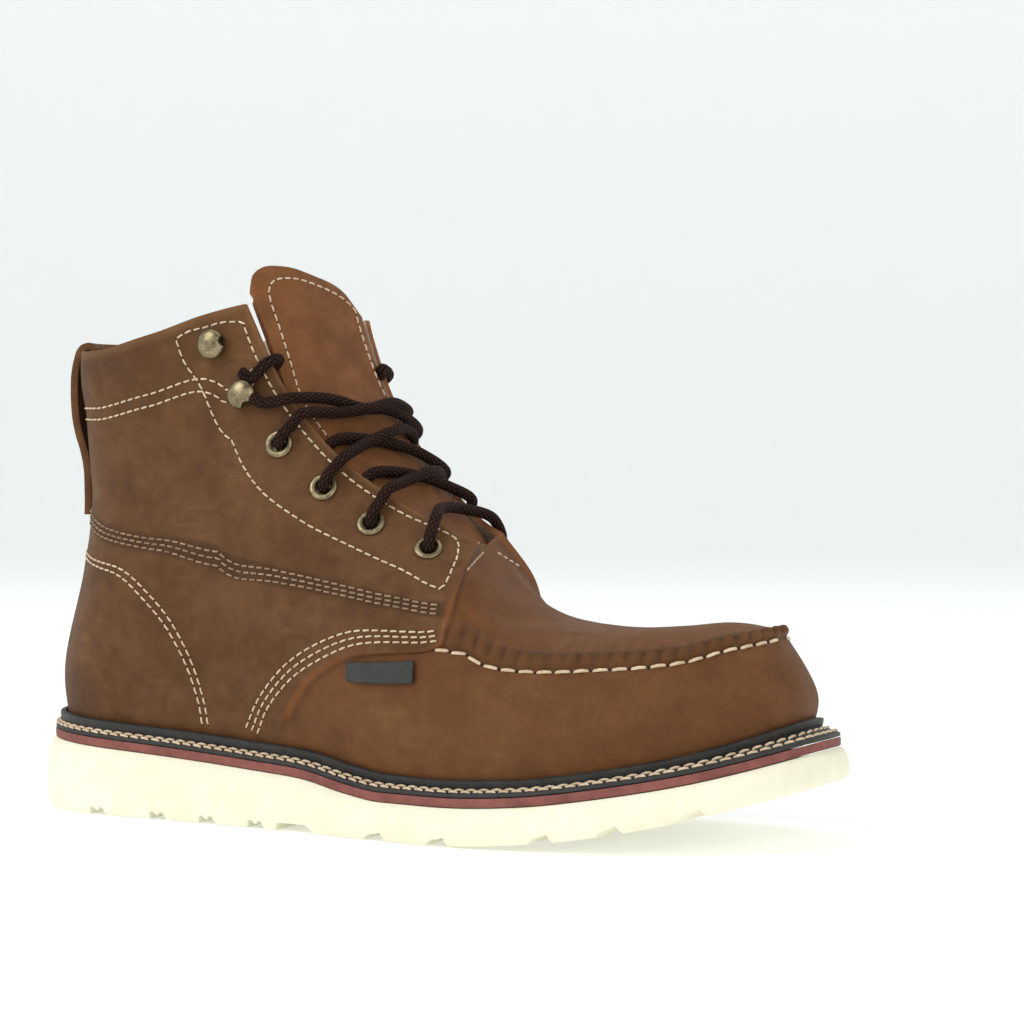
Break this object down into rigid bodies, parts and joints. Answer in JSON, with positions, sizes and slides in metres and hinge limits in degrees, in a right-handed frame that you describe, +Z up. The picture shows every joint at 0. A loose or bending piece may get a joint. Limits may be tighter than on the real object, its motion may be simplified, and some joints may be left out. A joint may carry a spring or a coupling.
{
  "type": "wedge sole work boot",
  "caption": "Lace-up ankle work boot with a gathered moc toe, hollow leather upper, pull loop at the heel and a light wedge sole.",
  "frame": {"origin": "on the floor, under the middle of the sole's length and width", "axes": "+X towards the toe, +Z up, +Y towards the inner side of the foot, so the outer side of this right boot is -Y"},
  "size_m": [0.304, 0.1061, 0.1944],
  "materials": {
    "wedge_sole": "light cream foamed rubber, matte, fine pebble",
    "midsole": "dark red rubber sheet, matte",
    "welt": "black ribbed welt with pale stitches",
    "insole": "natural tan leather",
    "leather": "matte oiled nubuck, dark brown, mottled",
    "tongue_leather": "matte oiled nubuck, warm brown",
    "brass": "antique brass, worn edges",
    "lace": "braided round lace, dark brown",
    "tab": "dark woven tab, bare"
  },
  "bodies": {
    "root": {"outsole": "wedge_sole", "midsole": "midsole", "welt": "welt", "insole": "insole", "upper": "leather", "tongue": "tongue_leather", "eyelet_1_outer": "brass", "eyelet_2_outer": "brass", "eyelet_3_outer": "brass", "eyelet_4_outer": "brass", "eyelet_1_inner": "brass", "eyelet_2_inner": "brass", "eyelet_3_inner": "brass", "eyelet_4_inner": "brass", "hook_1_outer": "brass", "hook_2_outer": "brass", "hook_1_inner": "brass", "hook_2_inner": "brass", "lace_bar": "lace", "lace_cross_2": "lace", "lace_cross_1": "lace", "lace_cross_top": "lace", "lace_tail_outer": "lace", "lace_tail_inner": "lace", "pull_loop": "leather", "side_tab": "tab"}
  },
  "joints": []
}
